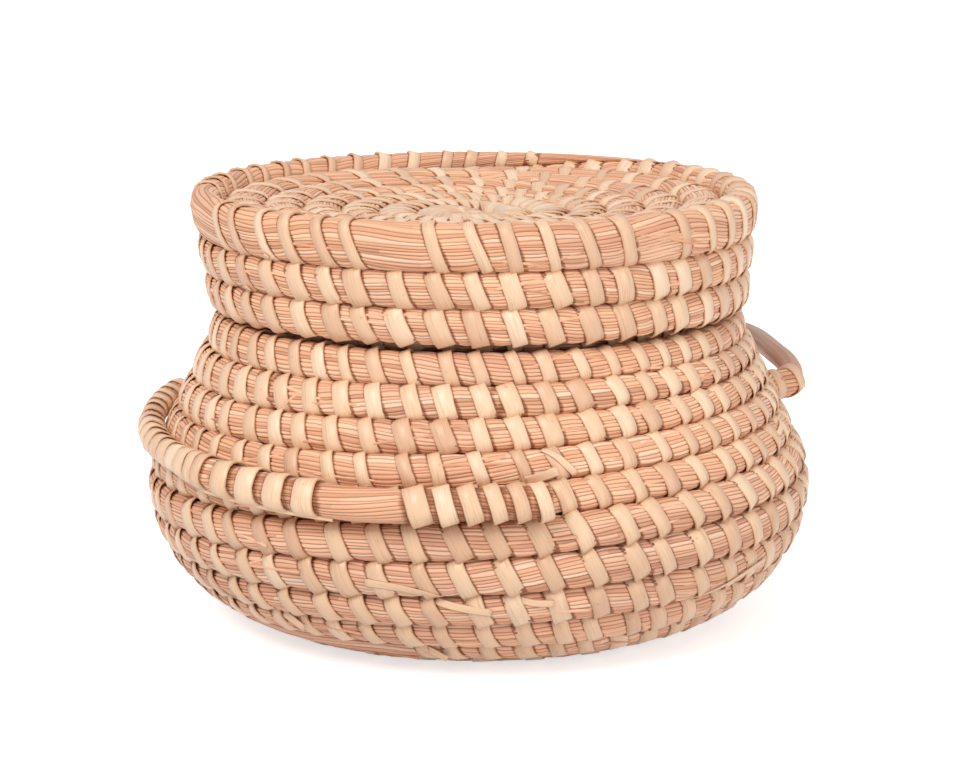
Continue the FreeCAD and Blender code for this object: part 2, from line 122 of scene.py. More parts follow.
class Coil:
    """One straw bundle wound row on row along a profile, with tapered ends."""

    def __init__(self, profile, start, row_heights, slant=0.0, slant_start=0.0):
        self.profile = profile
        self.tops = start + np.concatenate([[0], np.cumsum(row_heights)])
        self.slant = slant
        self.slant_start = slant_start

    def edge(self, turned):
        """Length along the profile of the bundle's far edge, after degrees turned along the coil."""
        row = np.floor(turned / FULL_TURN).astype(int)
        share = np.clip((turned - FULL_TURN * (row + 1) + CLIMB) / CLIMB, 0, 1)
        last = len(self.tops) - 1
        low = self.tops[np.clip(row + 1, 0, last)]
        high = self.tops[np.clip(row + 2, 0, last)]
        return low + (high - low) * (1 - np.cos(np.pi * share)) / 2

    def slanted(self, along, angle):
        """Lengths along the profile, moved on at the right and back at the left."""
        share = np.maximum(0, (along - self.slant_start) / (self.profile.length - self.slant_start))
        return along + self.slant * np.sin(np.pi * share) * np.cos(np.radians(angle))

    def frames(self, turned):
        """Middle, direction across the row, outward direction and half sizes at each turn."""
        near = np.where(turned - FULL_TURN >= -CLIMB, self.edge(turned - FULL_TURN), self.tops[0])
        far = self.edge(turned)
        angle = CLIMB_END + turned
        near = self.slanted(near, angle)
        far = self.slanted(far, angle)
        half = np.maximum((far - near) / 2, TIP_HALF_WIDTH)
        radius, height, heading = self.profile.place((near + far) / 2)
        radial = plan(np.ones(len(turned)), angle, np.zeros(len(turned)))
        up = np.array([0.0, 0.0, 1.0])
        across = radial * np.cos(heading)[:, None] + up * np.sin(heading)[:, None]
        outward = radial * np.sin(heading)[:, None] - up * np.cos(heading)[:, None]
        row = np.clip((turned // FULL_TURN).astype(int), 0, len(self.tops) - 2)
        full = (self.tops[1:] - self.tops[:-1])[row] / 2
        depth = HALF_DEPTH * (TIP_DEPTH + (1 - TIP_DEPTH) * np.clip(half / full, 0, 1))
        return plan(radius, angle, height), across, outward, half, depth


# The wall: base, belly, shoulder and neck.
wall = Profile(0, HALF_DEPTH, 0).add(BASE_FLAT).add(round_turn(BELLY_RADIUS, 90), 90)
wall.add(round_turn(SHOULDER_RADIUS, SHOULDER_LEAN), SHOULDER_LEAN)
shoulder_radius, shoulder_height = wall.end[:2]
wall.add(SHOULDER_LENGTH).add(round_turn(NECK_RADIUS, SHOULDER_LEAN), -SHOULDER_LEAN)
neck_inner = wall.end[0] - HALF_DEPTH
neck_top = wall.end[1]

# The middle rows of the wall run this much higher on the right, and lower on the left.
ROW_SLANT = 7.0 * MM
WALL_ROWS = BASE_ROWS + BELLY_ROWS + SHOULDER_ROWS
BELLY_END = BASE_ROWS + BELLY_ROWS
base_row = (BASE_EDGE - EYE) / BASE_ROWS
belly_row = (wall.length - SHOULDER_ROWS * SHOULDER_ROW - BASE_EDGE) / BELLY_ROWS
wall_heights = [base_row] * BASE_ROWS + [belly_row] * BELLY_ROWS + [SHOULDER_ROW] * SHOULDER_ROWS
wall_coil = Coil(wall, EYE, wall_heights, ROW_SLANT, BASE_EDGE)

# The lid's rim, its dish, and the collar that stands up inside it.
LID_LIP_GAP = 3.2 * MM
LID_SLIDE_GAP = 1.1 * MM
LID_TOP_ROW = 17.5 * MM
LID_ROW = 14.0 * MM
LID_FLARE = 6.5
DISH_ROWS = 6
DISH_BEND = 623.0 * MM
DISH_DROP = 7.4 * MM
COLLAR_ROWS = 4
COLLAR_DROP = 13.0 * MM
EDGE_SHARE = math.tan(math.pi / 8)

flare = math.radians(LID_FLARE)
rim_length = LID_TOP_ROW + 2 * LID_ROW
collar_outer = neck_inner - SEAT
rim_end_radius = collar_outer + LID_SLIDE_GAP + HALF_DEPTH / math.cos(flare)
rim_end_height = neck_top + LID_LIP_GAP + HALF_DEPTH * EDGE_SHARE * math.sin(flare)
rim_top_radius = rim_end_radius + rim_length * math.sin(flare)
rim_top_height = rim_end_height + rim_length * math.cos(flare)
rim = Profile(rim_top_radius, rim_top_height, -90 - LID_FLARE).add(rim_length)
rim_coil = Coil(rim, 0.0, [LID_TOP_ROW, LID_ROW, LID_ROW])

top_row_height = rim_top_height - LID_TOP_ROW / 2
dish_middle = top_row_height - DISH_DROP
rim_inner = rim_top_radius - (rim_top_height - top_row_height) * math.tan(flare) - HALF_DEPTH
dish_edge = rim_inner - HALF_DEPTH * math.tan(flare) - 2 * SEAT
dish_turn = math.degrees(math.asin(dish_edge / DISH_BEND))
dish = Profile(0, dish_middle, 0).add(round_turn(DISH_BEND, dish_turn), dish_turn)
dish_coil = Coil(dish, EYE, [(dish.length - EYE) / DISH_ROWS] * DISH_ROWS)

collar_middle = collar_outer - HALF_DEPTH
collar_rest = collar_middle - HALF_DEPTH * EDGE_SHARE
collar_top = dish_middle + DISH_BEND - math.sqrt(DISH_BEND ** 2 - collar_rest ** 2) - HALF_DEPTH - SEAT
collar_bottom = neck_top - COLLAR_DROP
collar = Profile(collar_middle, collar_bottom, 90).add(collar_top - collar_bottom)
collar_coil = Coil(collar, 0.0, [collar.length / COLLAR_ROWS] * COLLAR_ROWS)

# Every bundle and strip has a rounded section between an oval and an oblong.
ROUNDNESS = 2.6

# A stem's outline starts in the groove beside it and has two points on its back.
FLUTE_SHARES = (0.0, 0.2, 0.8)
FLUTES = len(FLUTE_SHARES)
FLUTE_DEPTH = 0.45 * MM
STEM_LIFT = 0.30 * MM
STEM_SHIFT = 0.34
STEM_REACH = 90 * MM
TWIST_REACH = 260 * MM
TWIST = 0.75

# The stems are drawn in under a strip, and in shadow just past it, and less so just before it.
PINCH = 0.30 * MM
PINCH_EDGE = 1.6 * MM
PINCH_SPARE = 0.8 * MM
SHADOW_ONE_SIDED = 0.6 * MM
SHADOW_REACH = 1.0 * MM

# Length of strip that one turn of the grain's map stands for.
STRIP_LENGTH = 37 * MM


def wander(length, count, reach, seed):
    """Smooth random values between -1 and 1 along a length, one column for each of count tracks."""
    rng = np.random.default_rng(seed)
    total = np.zeros((len(length), count))
    for share, part in ((1.0, 0.5), (0.55, 0.3), (0.31, 0.2)):
        waves = reach * share * rng.uniform(0.7, 1.4, count)
        total += part * np.sin(2 * np.pi * (length[:, None] / waves + rng.uniform(0, 1, count)))
    return total


def closed_section(turn, half, depth):
    """Distance from the middle to the outside of a rounded section at a turn round it."""
    wide = np.abs(np.cos(turn) / half) ** ROUNDNESS
    deep = np.abs(np.sin(turn) / depth) ** ROUNDNESS
    return (wide + deep) ** (-1 / ROUNDNESS)


def tube_faces(count, around):
    """Corners and corner counts of a closed tube's faces: quads between its rings and a fan at each end."""
    ring = np.arange(around)
    after = (ring + 1) % around
    first = np.arange(count - 1)[:, None] * around
    quads = np.stack([first + ring, first + after, first + after + around, first + ring + around], axis=-1)
    tip = count * around
    last = tip - around
    near = np.stack([ring * 0 + tip, after, ring], axis=-1)
    far = np.stack([ring * 0 + tip + 1, last + ring, last + after], axis=-1)
    corners = np.concatenate([quads.ravel(), near.ravel(), far.ravel()])
    sizes = np.concatenate([np.full((count - 1) * around, 4), np.full(2 * around, 3)])
    return corners, sizes


def tube_places(stretch, side):
    """Length run along a closed tube and place round it, at every corner of its faces."""
    around = len(side) - 1
    grid = np.zeros((len(stretch) - 1, around, 4, 2))
    grid[:, :, 0:2, 0] = stretch[:-1, None, None]
    grid[:, :, 2:4, 0] = stretch[1:, None, None]
    grid[:, :, 0::3, 1] = side[:-1, None]
    grid[:, :, 1:3, 1] = side[1:, None]
    ends = np.zeros((2, around, 3, 2))
    ends[..., 0] = stretch[[0, -1], None, None]
    ends[..., 1] = side[:-1, None]
    return np.concatenate([grid.reshape(-1, 2), ends.reshape(-1, 2)])


def tube_mesh(name, rings, tips, map_name="straw", marks=None, places=None):
    """Closed tube through rings of points, with a fan at each end and a map of length and place round it."""
    count, around = rings.shape[:2]
    corners, sizes = tube_faces(count, around)
    starts = np.concatenate([[0], np.cumsum(sizes)[:-1]])
    points = np.concatenate([rings.reshape(-1, 3), tips])
    mesh = bpy.data.meshes.new(name)
    mesh.vertices.add(len(points))
    mesh.vertices.foreach_set("co", points.astype(np.float32).ravel())
    mesh.loops.add(len(corners))
    mesh.loops.foreach_set("vertex_index", corners.astype(np.int32))
    mesh.polygons.add(len(sizes))
    mesh.polygons.foreach_set("loop_start", starts.astype(np.int32))
    mesh.update(calc_edges=True)
    side = np.arange(around + 1) / FLUTES if places is None else places
    flat = tube_places(run_length(rings.mean(axis=1)), side)
    if map_name == "strip":
        flat = flat[:, ::-1] / (1, STRIP_LENGTH)
    layer = mesh.uv_layers.new(name=map_name)
    layer.data.foreach_set("uv", flat.astype(np.float32).ravel())
    for label, values in (marks or {}).items():
        attribute = mesh.attributes.new(label, "FLOAT", "POINT")
        attribute.data.foreach_set("value", np.append(values, [1, 1]).astype(np.float32))
    mesh.shade_smooth()
    thing = bpy.data.objects.new(name, mesh)
    bpy.context.scene.collection.objects.link(thing)
    return thing


def beside(length, across, marks, widths, lean):
    """Distances from the edges of the last strip and of the next one at every point of a bundle."""
    along = length[:, None] + across * math.tan(lean)
    after = np.clip(np.searchsorted(marks, along), 1, len(marks) - 1)
    past = np.abs(along - marks[after - 1]) - widths[after - 1] / 2
    ahead = np.abs(along - marks[after]) - widths[after] / 2
    return past, ahead


def stem_outlines(length, stems, seed, twist):
    """Turns round a bundle, and heights over its section, of the outlines of its stems at each station."""
    shift = wander(length, stems, STEM_REACH, seed) * STEM_SHIFT
    lift = wander(length, stems, STEM_REACH, seed + 1) * STEM_LIFT
    turn_on = wander(length, 1, TWIST_REACH, seed + 2) * twist
    grooves = np.arange(stems) + shift
    after = np.roll(grooves, -1, axis=1)
    after[:, -1] += stems
    groove_lift = np.minimum(lift, np.roll(lift, 1, axis=1)) - FLUTE_DEPTH
    turns, heights = [], []
    for part, share in enumerate(FLUTE_SHARES):
        turns.append(grooves + (after - grooves) * share)
        round_part = math.sqrt(1 - (2 * share - 1) ** 2)
        heights.append(groove_lift if part == 0 else lift - FLUTE_DEPTH * (1 - round_part))
    turns = np.stack(turns, axis=-1).reshape(len(length), -1) * 2 * np.pi / stems + turn_on
    return turns, np.stack(heights, axis=-1).reshape(len(length), -1)


def bundle(name, frames, stems, seed, finish, twist=TWIST, binding=None, shadow_reach=SHADOW_REACH):
    """A straw bundle: stems side by side round a rounded section, some proud, wandering as they run."""
    middle, across, outward, half, depth = frames
    length = run_length(middle)
    turns, heights = stem_outlines(length, stems, seed, twist)
    thin = np.clip(np.minimum(half, depth) / HALF_DEPTH, 0.1, 1)[:, None]
    reach = closed_section(turns, half[:, None], depth[:, None])
    shadow = np.ones_like(heights)
    if binding:
        past, ahead = beside(length, reach * np.cos(turns), *binding)
        share = np.clip((np.minimum(past, ahead) - PINCH_SPARE) / PINCH_EDGE, 0, 1)
        heights = heights - PINCH * (1 - share * share * (3 - 2 * share))
        shadow = np.minimum(past, ahead + SHADOW_ONE_SIDED) / shadow_reach
    reach = reach + heights * thin
    rings = middle[:, None] + across[:, None] * (reach * np.cos(turns))[..., None]
    rings = rings + outward[:, None] * (reach * np.sin(turns))[..., None]
    thing = tube_mesh(name, rings, middle[[0, -1]], marks={"shadow": shadow.ravel()})
    thing.data.materials.append(finish)
    return thing


# Finishes.
def paint(red, green, blue):
    """Linear colour of a colour as it is seen, from 0 to 255."""
    return tuple(((value / 255 + 0.055) / 1.055) ** 2.4 for value in (red, green, blue)) + (1.0,)


def grey(level):
    """A plain tint, where 1 leaves a colour as it is."""
    return (level, level, level, 1.0)


class Finish:
    """A material and short ways to add and join its nodes."""

    def __init__(self, name, roughness, specular=0.4):
        self.material = bpy.data.materials.new(name)
        self.material.use_nodes = True
        self.tree = self.material.node_tree
        self.shader = self.tree.nodes["Principled BSDF"]
        self.shader.inputs["Roughness"].default_value = roughness
        self.shader.inputs["Specular IOR Level"].default_value = specular

    def put(self, value, socket):
        """Sets a socket, or joins a node or another socket to it."""
        if isinstance(value, bpy.types.NodeSocket):
            self.tree.links.new(value, socket)
        elif isinstance(value, bpy.types.Node):
            self.tree.links.new(value.outputs[0], socket)
        else:
            socket.default_value = value

    def node(self, kind, values=None, **settings):
        made = self.tree.nodes.new(kind)
        for key, value in settings.items():
            setattr(made, key, value)
        for key, value in (values or {}).items():
            self.put(value, made.inputs[key])
        return made

    def maths(self, operation, *values):
        return self.node("ShaderNodeMath", dict(enumerate(values)), operation=operation).outputs[0]

    def ramp(self, value, *stops):
        """Colour of a value between stops, each a place from 0 to 1 and a colour."""
        made = self.node("ShaderNodeValToRGB", {"Fac": value})
        elements = made.color_ramp.elements
        while len(elements) < len(stops):
            elements.new(0.5)
        for element, (place, colour) in zip(elements, stops):
            element.position = place
            element.color = colour if len(colour) == 4 else (*colour, 1)
        return made.outputs["Color"]

    def tinted(self, colour, tint, share=1.0):
        """A colour multiplied by a tint, in full or in part."""
        values = {0: share, 6: colour, 7: tint}
        return self.node("ShaderNodeMix", values, data_type="RGBA", blend_type="MULTIPLY").outputs[2]

    def noise(self, vector, scale, detail=2.0, roughness=0.5):
        values = {"Scale": scale, "Detail": detail, "Roughness": roughness, "Vector": vector}
        return self.node("ShaderNodeTexNoise", values).outputs["Fac"]

    def spot(self, x, y=0.0, z=0.0):
        return self.node("ShaderNodeCombineXYZ", {0: x, 1: y, 2: z}).outputs[0]

    def stretched(self, first, first_scale, second, second_scale, seed=0.0):
        """Place in a pattern that has one scale along a stem or strip and another across it."""
        first = self.maths("MULTIPLY", first, first_scale)
        return self.spot(first, self.maths("MULTIPLY", second, second_scale), seed)

    def chance(self, *place):
        """A random value from 0 to 1 for each place."""
        return self.node("ShaderNodeTexWhiteNoise", {"Vector": self.spot(*place)}).outputs["Value"]

    def apart(self, vector):
        """The three parts of a vector."""
        return self.node("ShaderNodeSeparateXYZ", {0: vector}).outputs

    def mapped(self, map_name):
        """The two parts of a piece's own map."""
        return self.apart(self.node("ShaderNodeUVMap", uv_map=map_name))[:2]

    def marked(self, label):
        """The value that the piece holds under a name."""
        return self.node("ShaderNodeAttribute", attribute_name=label).outputs["Fac"]

    def from_middle(self, value):
        """Distance of a value from one half."""
        return self.maths("ABSOLUTE", self.maths("SUBTRACT", value, 0.5))

    def bump(self, height, distance, strength):
        made = self.node("ShaderNodeBump", {"Height": height, "Distance": distance, "Strength": strength})
        self.put(made, self.shader.inputs["Normal"])

    def colour(self, value):
        """Gives the material its colour."""
        self.put(value, self.shader.inputs["Base Color"])


# Painted shade: straw and strips are a little darker below this height, where less light falls on them.
LOW_SHADE_HEIGHT = 80 * MM


def worn_low(finish, colour, where, shade_at_foot):
    """A colour that goes over to a tint of painted shade towards the foot of the basket, where less light
    falls.
    """
    height = finish.maths("DIVIDE", finish.apart(where)[2], LOW_SHADE_HEIGHT)
    return finish.tinted(colour, finish.ramp(height, (0.55, shade_at_foot), (0.95, grey(1.0))))


def straw_finish():
    """Dry straw: every stem its own tan, streaked along, with painted shade in the grooves between the stems
    and towards the foot of the basket.
    """
    finish = Finish("straw_stems", 0.52)
    along, around = finish.mapped("straw")
    stem = finish.maths("FLOOR", around)
    start = finish.maths("MULTIPLY", finish.chance(stem), 7.0)
    piece = finish.maths("FLOOR", finish.maths("ADD", finish.maths("MULTIPLY", along, 7.0), start))
    colour = finish.ramp(
        finish.chance(stem, piece), (0.0, paint(210, 152, 117)), (0.2, paint(231, 174, 137)),
        (0.6, paint(242, 188, 151)), (0.9, paint(247, 199, 164)), (1.0, paint(250, 212, 180)))

    streaks = finish.noise(finish.stretched(along, 24.0, around, 1.7), 1.0, 3.0)
    streak_tint = finish.ramp(streaks, (0.25, (0.84, 0.81, 0.80)), (0.5, grey(1.0)), (0.8, grey(1.05)))
    colour = finish.tinted(colour, streak_tint)
    where = finish.node("ShaderNodeTexCoord").outputs["Object"]
    patches = finish.noise(where, 22.0, 3.0)
    patch_tint = finish.ramp(patches, (0.35, (0.91, 0.89, 0.91)), (0.65, (1.03, 1.01, 0.99)))
    colour = finish.tinted(colour, patch_tint)
    # Painted shade towards the foot of the basket, where less light falls.
    colour = worn_low(finish, colour, where, (0.90, 0.90, 0.94))

    # Painted shade in the grooves between the stems.
    edge = finish.from_middle(finish.maths("FRACT", around))
    groove_shade_tint = finish.ramp(edge, (0.20, grey(1.0)), (0.5, (0.40, 0.26, 0.19)))
    colour = finish.tinted(colour, groove_shade_tint, 0.85)
    ragged = finish.maths("MULTIPLY", finish.chance(stem, 5.0), 0.5)
    shadow = finish.maths("SUBTRACT", finish.marked("shadow"), ragged)
    shadow_tint = finish.ramp(
        shadow, (0.0, (0.42, 0.29, 0.21)), (0.3, (0.66, 0.54, 0.46)), (0.7, grey(1.0)))
    finish.colour(finish.tinted(colour, shadow_tint))

    fibre = finish.noise(finish.stretched(along, 60.0, around, 9.0), 1.0, 2.0)
    finish.bump(fibre, 0.12 * MM, 0.6)
    return finish.material


def strip_finish():
    """Palm strip: cream, satin, with a fine grain along it, each strip a little different."""
    finish = Finish("palm_strips", 0.36, 0.5)
    across, along = finish.mapped("strip")
    tone = finish.marked("tone")
    colour = finish.ramp(
        tone, (0.0, paint(221, 176, 144)), (0.3, paint(232, 192, 158)),
        (0.7, paint(239, 202, 168)), (1.0, paint(244, 212, 181)))

    seed = finish.maths("MULTIPLY", tone, 91.0)
    grain = finish.noise(finish.stretched(across, 19.0, along, 4.0, seed), 1.0, 3.0, 0.6)
    grain_tint = finish.ramp(
        grain, (0.28, (0.74, 0.64, 0.55)), (0.46, (0.97, 0.96, 0.94)), (0.8, (1.04, 1.03, 1.0)))
    colour = finish.tinted(colour, grain_tint, 0.9)
    rim_tint = finish.ramp(finish.from_middle(across), (0.42, grey(1.0)), (0.5, (0.78, 0.66, 0.55)))
    colour = finish.tinted(colour, rim_tint, 0.8)
    where = finish.node("ShaderNodeTexCoord").outputs["Object"]
    specks = finish.noise(where, 320.0, 2.0)
    speck_tint = finish.ramp(specks, (0.70, grey(1.0)), (0.78, (0.72, 0.56, 0.42)))
    colour = finish.tinted(colour, speck_tint, 0.5)
    # Painted shade towards the foot of the basket, where less light falls.
    finish.colour(worn_low(finish, colour, where, (0.88, 0.86, 0.85)))

    ribs = finish.noise(finish.stretched(across, 26.0, along, 3.0, seed), 1.0, 2.0)
    finish.bump(ribs, 0.10 * MM, 0.5)
    return finish.material


def cane_finish():
    """Bent cane: smooth pinkish brown wood with a faint grain along it."""
    finish = Finish("bent_cane", 0.40)
    along, around = finish.mapped("straw")
    grain = finish.noise(finish.stretched(along, 12.0, around, 2.2), 1.0, 4.0, 0.55)
    finish.colour(finish.ramp(
        grain, (0.25, paint(168, 124, 100)), (0.5, paint(205, 163, 136)), (0.75, paint(226, 188, 160))))
    finish.bump(grain, 0.15 * MM, 0.4)
    return finish.material


straw = straw_finish()
palm = strip_finish()
cane = cane_finish()

# Palm strips. The band's section is given as shares of its width and of its distance from the middle.
BAND_STEPS = 18
BAND_SECTION = ((-0.5, 0.93), (-0.46, 1.03), (0.46, 1.03), (0.5, 0.93))
LEAN = math.radians(20)
LEAN_SPREAD = math.radians(4)
REACH_OVER = 1.05
UNEVENNESS = 0.8 * MM


def rounded(values):
    """Sines or cosines changed so that a circle becomes the rounded section."""
    return np.sign(values) * np.abs(values) ** (2 / ROUNDNESS)


def band_template():
    """One band of strip round a section of half sizes 1, with its width along X."""
    turns = 2 * np.pi * np.arange(BAND_STEPS) / BAND_STEPS
    made = bmesh.new()
    layer = made.loops.layers.uv.new("strip")
    rings = []
    for up, out in zip(rounded(np.cos(turns)), rounded(np.sin(turns))):
        rings.append([made.verts.new((place, up * share, out * share)) for place, share in BAND_SECTION])
    for step in range(BAND_STEPS):
        near, far = rings[step], rings[(step + 1) % BAND_STEPS]
        for side in range(len(BAND_SECTION)):
            after = (side + 1) % len(BAND_SECTION)
            face = made.faces.new((near[side], near[after], far[after], far[side]))
            face.smooth = True
            for loop, (corner, ahead) in zip(face.loops, ((side, 0), (after, 0), (after, 1), (side, 1))):
                loop[layer].uv = (BAND_SECTION[corner][0] + 0.5, (step + ahead) / BAND_STEPS)
    bmesh.ops.recalc_face_normals(made, faces=made.faces)
    mesh = bpy.data.meshes.new("strip_band")
    made.to_mesh(mesh)
    made.free()
    return bpy.data.objects.new("strip_band", mesh)


def strip_layer():
    """Tree that lays one band of strip round the bundle at every mark, leaning and uneven."""
    tree = bpy.data.node_groups.new("palm_strip_layer", "GeometryNodeTree")
    sockets = tree.interface
    sockets.new_socket("Marks", in_out="INPUT", socket_type="NodeSocketGeometry")
    for name, kind in (("Band", "Object"), ("Lean", "Float"), ("Lean spread", "Float"),
                       ("Unevenness", "Float"), ("Seed", "Int"), ("Finish", "Material")):
        sockets.new_socket(name, in_out="INPUT", socket_type="NodeSocket" + kind)
    sockets.new_socket("Strips", in_out="OUTPUT", socket_type="NodeSocketGeometry")

    def node(kind, values=None, **settings):
        made = tree.nodes.new(kind)
        for key, value in settings.items():
            setattr(made, key, value)
        for key, value in (values or {}).items():
            if isinstance(value, bpy.types.NodeSocket):
                tree.links.new(value, made.inputs[key])
            else:
                made.inputs[key].default_value = value
        return made

    def mark(name):
        return node("GeometryNodeInputNamedAttribute", {"Name": name}, data_type="FLOAT_VECTOR").outputs[0]

    def any_value(low, high, seed):
        return node("FunctionNodeRandomValue", {2: low, 3: high, "Seed": seed}, data_type="FLOAT").outputs[1]

    given = node("NodeGroupInput").outputs
    turned = node("FunctionNodeAxesToRotation", {0: mark("outward"), 1: mark("along")},
                  primary_axis="Z", secondary_axis="X").outputs[0]
    band = node("GeometryNodeObjectInfo", {"Object": given["Band"]}).outputs["Geometry"]
    laid = node("GeometryNodeInstanceOnPoints", {"Points": given["Marks"], "Instance": band,
                                                 "Rotation": turned, "Scale": mark("spread")}).outputs[0]
    swing = any_value(-1.0, 1.0, given["Seed"])
    swing = node("ShaderNodeMath", {0: swing, 1: given["Lean spread"], 2: given["Lean"]},
                 operation="MULTIPLY_ADD").outputs[0]
    swing = node("ShaderNodeCombineXYZ", {2: swing}).outputs[0]
    laid = node("GeometryNodeRotateInstances", {"Instances": laid, "Rotation": swing}).outputs[0]
    next_seed = node("ShaderNodeMath", {0: given["Seed"], 1: 1.0}, operation="ADD").outputs[0]
    tone = any_value(0.0, 1.0, next_seed)
    laid = node("GeometryNodeStoreNamedAttribute", {"Geometry": laid, "Name": "tone", "Value": tone},
                data_type="FLOAT", domain="INSTANCE").outputs[0]
    real = node("GeometryNodeRealizeInstances", {"Geometry": laid}).outputs[0]
    rough = node("ShaderNodeTexNoise", {"Scale": 210.0, "Detail": 1.0}).outputs["Color"]
    rough = node("ShaderNodeVectorMath", {0: rough, 1: (0.5, 0.5, 0.5)}, operation="SUBTRACT").outputs[0]
    rough = node("ShaderNodeVectorMath", {0: rough, "Scale": given["Unevenness"]},
                 operation="SCALE").outputs[0]
    real = node("GeometryNodeSetPosition", {"Geometry": real, "Offset": rough}).outputs[0]
    real = node("GeometryNodeSetMaterial", {"Geometry": real, "Material": given["Finish"]}).outputs[0]
    node("NodeGroupOutput", {0: real})
    return tree


strip_band = band_template()
layer_tree = strip_layer()


def lay_strips(name, frames, widths, seed, lean=LEAN, spread=LEAN_SPREAD):
    """Strips at marks: a plain mesh, made by the strip layer."""
    middle, across, outward, half, depth = frames
    along = np.cross(across, outward)
    mesh = bpy.data.meshes.new(name + "_marks")
    mesh.from_pydata(middle.tolist(), [], [])
    sizes = np.stack([widths, half * REACH_OVER / math.cos(lean), depth], axis=-1)
    for label, values in (("along", along), ("outward", outward), ("spread", sizes)):
        layer = mesh.attributes.new(label, "FLOAT_VECTOR", "POINT")
        layer.data.foreach_set("vector", values.astype(np.float32).ravel())
    marks = bpy.data.objects.new(name + "_marks", mesh)
    bpy.context.scene.collection.objects.link(marks)
    laying = marks.modifiers.new("strips", "NODES")
    laying.node_group = layer_tree
    chosen = {"Band": strip_band, "Lean": lean, "Lean spread": spread,
              "Unevenness": UNEVENNESS, "Seed": seed, "Finish": palm}
    for item in layer_tree.interface.items_tree:
        if item.in_out == "INPUT" and item.name in chosen:
            laying[item.identifier] = chosen[item.name]
    seen = marks.evaluated_get(bpy.context.evaluated_depsgraph_get())
    done = bpy.data.meshes.new_from_object(seen)
    done.name = name
    bpy.data.objects.remove(marks)
    strips = bpy.data.objects.new(name, done)
    bpy.context.scene.collection.objects.link(strips)
    return strips


# Sewn rows. Angles between the stations of a bundle are in degrees.
STITCH_JITTER = 0.13
THINNEST_SEWN = 2.6 * MM
WIDTH_SPREAD = 0.15
SNUG = 1.03
END_CUT = 0.03
WALL_STITCHES = 54
LID_STITCHES = 48
SHOULDER_WIDTHS = [5.8 * MM, 5.3 * MM, 6.4 * MM, 6.4 * MM, 5.0 * MM]
RIM_WIDTHS = [4.9 * MM, 7.0 * MM, 7.0 * MM]

# Stretches without stitches: the row, and the plan angles between which it lies bare.
BELLY_BARE = ((BASE_ROWS, 216, 257),)
RIM_BARE = ((0, 184, 207), (0, 247, 260), (0, 301, 308))


def stitch_turns(first, last, per_turn, drift, bare, rng):
    """Turns of the stitches: columns by plan angle that drift from row to row, less the bare stretches."""
    pitch = FULL_TURN / per_turn
    start = (FRONT - CLIMB_END) % pitch
    numbers = np.arange(math.ceil((first - start) / pitch), (last - start) / pitch)
    turned = start + numbers * pitch + rng.uniform(-STITCH_JITTER, STITCH_JITTER, len(numbers)) * pitch
    turned = turned + drift * np.floor(turned / FULL_TURN)
    for row, low, high in bare:
        begin = FULL_TURN * row + (low - CLIMB_END) % FULL_TURN
        turned = turned[(turned < begin) | (turned > begin + high - low)]
    return turned


def sewn_rows(name, coil, first, last, stems, per_turn, row_widths, seed,
              lean=LEAN, drift=0.0, bare=(), station=1.45):
    """A stretch of a coil: its straw bundle and the strips that sew it, of a width for each row in turn."""
    start = -(1 - END_CUT) * CLIMB if first is None else first * FULL_TURN
    whole = (len(coil.tops) - 1) * FULL_TURN
    stop = whole - END_CUT * CLIMB if last is None else last * FULL_TURN
    stations = np.linspace(start, stop, int(round((stop - start) / station)) + 1)
    rng = np.random.default_rng(seed)
    marks = stitch_turns(start, stop, per_turn, drift, bare, rng)
    marks = marks[coil.frames(marks)[3] > THINNEST_SEWN]
    middle, across, outward, half, depth = coil.frames(stations)
    row = np.clip((marks - start) // FULL_TURN, 0, len(row_widths) - 1).astype(int)
    widths = np.array(row_widths)[row] * rng.uniform(1 - WIDTH_SPREAD, 1 + WIDTH_SPREAD, len(marks))
    binding = (np.interp(marks, stations, run_length(middle)), widths, lean)
    frames = (middle, across, outward, half * SNUG, depth)
    rows = bundle(name + "_straw", frames, stems, seed, straw, binding=binding)
    return rows, lay_strips(name + "_strips", coil.frames(marks), widths, seed, lean)


base_straw, base_strips = sewn_rows(
    "base", wall_coil, None, BASE_ROWS, stems=22, per_turn=28,
    row_widths=[6.5 * MM], seed=11, station=5.0)
belly_straw, belly_strips = sewn_rows(
    "belly", wall_coil, BASE_ROWS, BELLY_END, stems=26, per_turn=WALL_STITCHES,
    row_widths=[6.5 * MM], seed=21, lean=1.25 * LEAN, drift=-1.5, bare=BELLY_BARE)
shoulder_straw, shoulder_strips = sewn_rows(
    "shoulder", wall_coil, BELLY_END, None, stems=25, per_turn=WALL_STITCHES,
    row_widths=SHOULDER_WIDTHS, seed=31)
collar_straw, collar_strips = sewn_rows(
    "collar", collar_coil, None, None, stems=22, per_turn=44,
    row_widths=[6.0 * MM], seed=41, station=4.0)
dish_straw, dish_strips = sewn_rows(
    "lid_dish", dish_coil, None, None, stems=28, per_turn=30,
    row_widths=[5.2 * MM], seed=51, lean=-LEAN, station=2.1)
rim_straw, rim_strips = sewn_rows(
    "lid_rim", rim_coil, None, None, stems=30, per_turn=LID_STITCHES,
    row_widths=RIM_WIDTHS, seed=61, lean=-0.85 * LEAN, bare=RIM_BARE, station=1.2)

# Both handles lie on the shoulder.
HANDLE_ANGLE = 43.0
HALF_CANE = 4.5 * MM
shoulder_lean = math.radians(SHOULDER_LEAN)


def path_frames(points, half, depth):
    """Frames along a path: outward follows the wall's lean."""
    along = np.gradient(points, axis=0)
    along /= np.linalg.norm(along, axis=1)[:, None]
    radial = points * np.array([1, 1, 0])
    radial /= np.linalg.norm(radial, axis=1)[:, None]
    outward = radial * math.cos(shoulder_lean) + np.array([0, 0, 1]) * math.sin(shoulder_lean)
    outward -= along * (outward * along).sum(axis=1)[:, None]
    outward /= np.linalg.norm(outward, axis=1)[:, None]
    across = np.cross(outward, along)
    sizes = np.ones(len(points))
    return points, across, outward, half * sizes, depth * sizes


